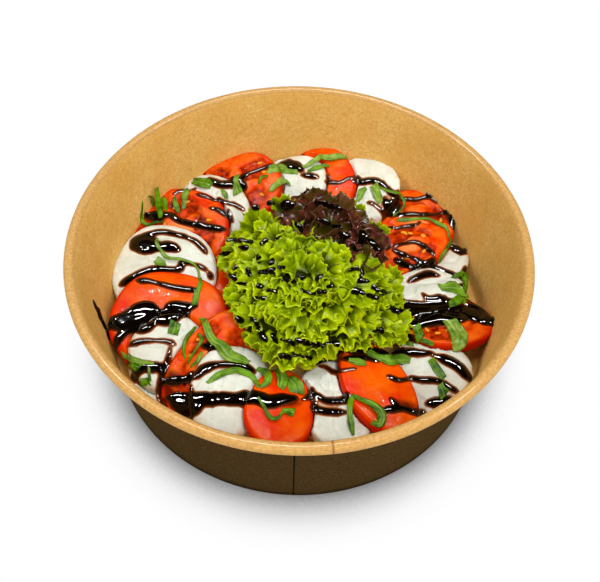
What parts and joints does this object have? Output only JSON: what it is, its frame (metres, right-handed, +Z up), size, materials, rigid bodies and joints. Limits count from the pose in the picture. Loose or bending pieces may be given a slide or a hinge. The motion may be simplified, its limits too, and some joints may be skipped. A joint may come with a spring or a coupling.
{
  "type": "caprese salad",
  "caption": "Tomato and mozzarella slices with basil, a heap of frilly lettuce and dark drizzle, in a round kraft paper bowl.",
  "frame": {"origin": "centre of the bowl's base, on the surface that it stands on", "axes": "+Z up, -Y towards the front of the bowl with the drizzled tomato slices, +X to the right"},
  "size_m": [0.185, 0.185, 0.063],
  "materials": {
    "kraft_paper": "matte uncoated kraft paper with a faint sheen",
    "tomato": "wet and glossy",
    "mozzarella": "moist, soft sheen",
    "basil": "soft sheen",
    "lettuce_green": "soft sheen",
    "lettuce_red": "soft sheen"
  },
  "bodies": {
    "root": {"bowl": "kraft_paper", "tomato_s": "tomato", "mozzarella_ssw": "mozzarella", "tomato_sw": "tomato", "mozzarella_sw": "mozzarella", "tomato_w": "tomato", "mozzarella_w": "mozzarella", "tomato_nw": "tomato", "mozzarella_nw": "mozzarella", "tomato_nnw": "tomato", "mozzarella_n": "mozzarella", "tomato_n": "tomato", "mozzarella_ne": "mozzarella", "mozzarella_e": "mozzarella", "tomato_ene": "tomato", "tomato_ne": "tomato", "mozzarella_ene": "mozzarella", "tomato_e": "tomato", "tomato_se": "tomato", "mozzarella_se": "mozzarella", "mozzarella_sse": "mozzarella", "mozzarella_wsw": "mozzarella", "tomato_ssw": "tomato", "mozzarella_inner": "mozzarella", "tomato_wnw": "tomato", "basil_nw_tall": "basil", "basil_nw_low": "basil", "basil_nw_inner": "basil", "basil_nw_right": "basil", "basil_nnw_piece": "basil", "basil_nnw_spike": "basil", "basil_n_left": "basil", "basil_n_low": "basil", "basil_n_back": "basil", "basil_ne_left": "basil", "basil_ne_right": "basil", "basil_ne_long": "basil", "basil_e_leaf": "basil", "basil_e_edge": "basil", "basil_e_strip": "basil", "basil_e_broad": "basil", "basil_se_strip": "basil", "basil_se_top": "basil", "basil_se_right": "basil", "basil_s_curl": "basil", "basil_s_tail": "basil", "basil_w_stem": "basil", "basil_w_bit": "basil", "basil_w_low": "basil", "basil_sw_square": "basil", "basil_sw_long": "basil", "basil_sw_arc": "basil", "basil_sw_low": "basil", "basil_s_left": "basil", "basil_s_right": "basil", "basil_s_low": "basil", "lettuce_red": "lettuce_red", "lettuce_green": "lettuce_green"}
  },
  "joints": []
}
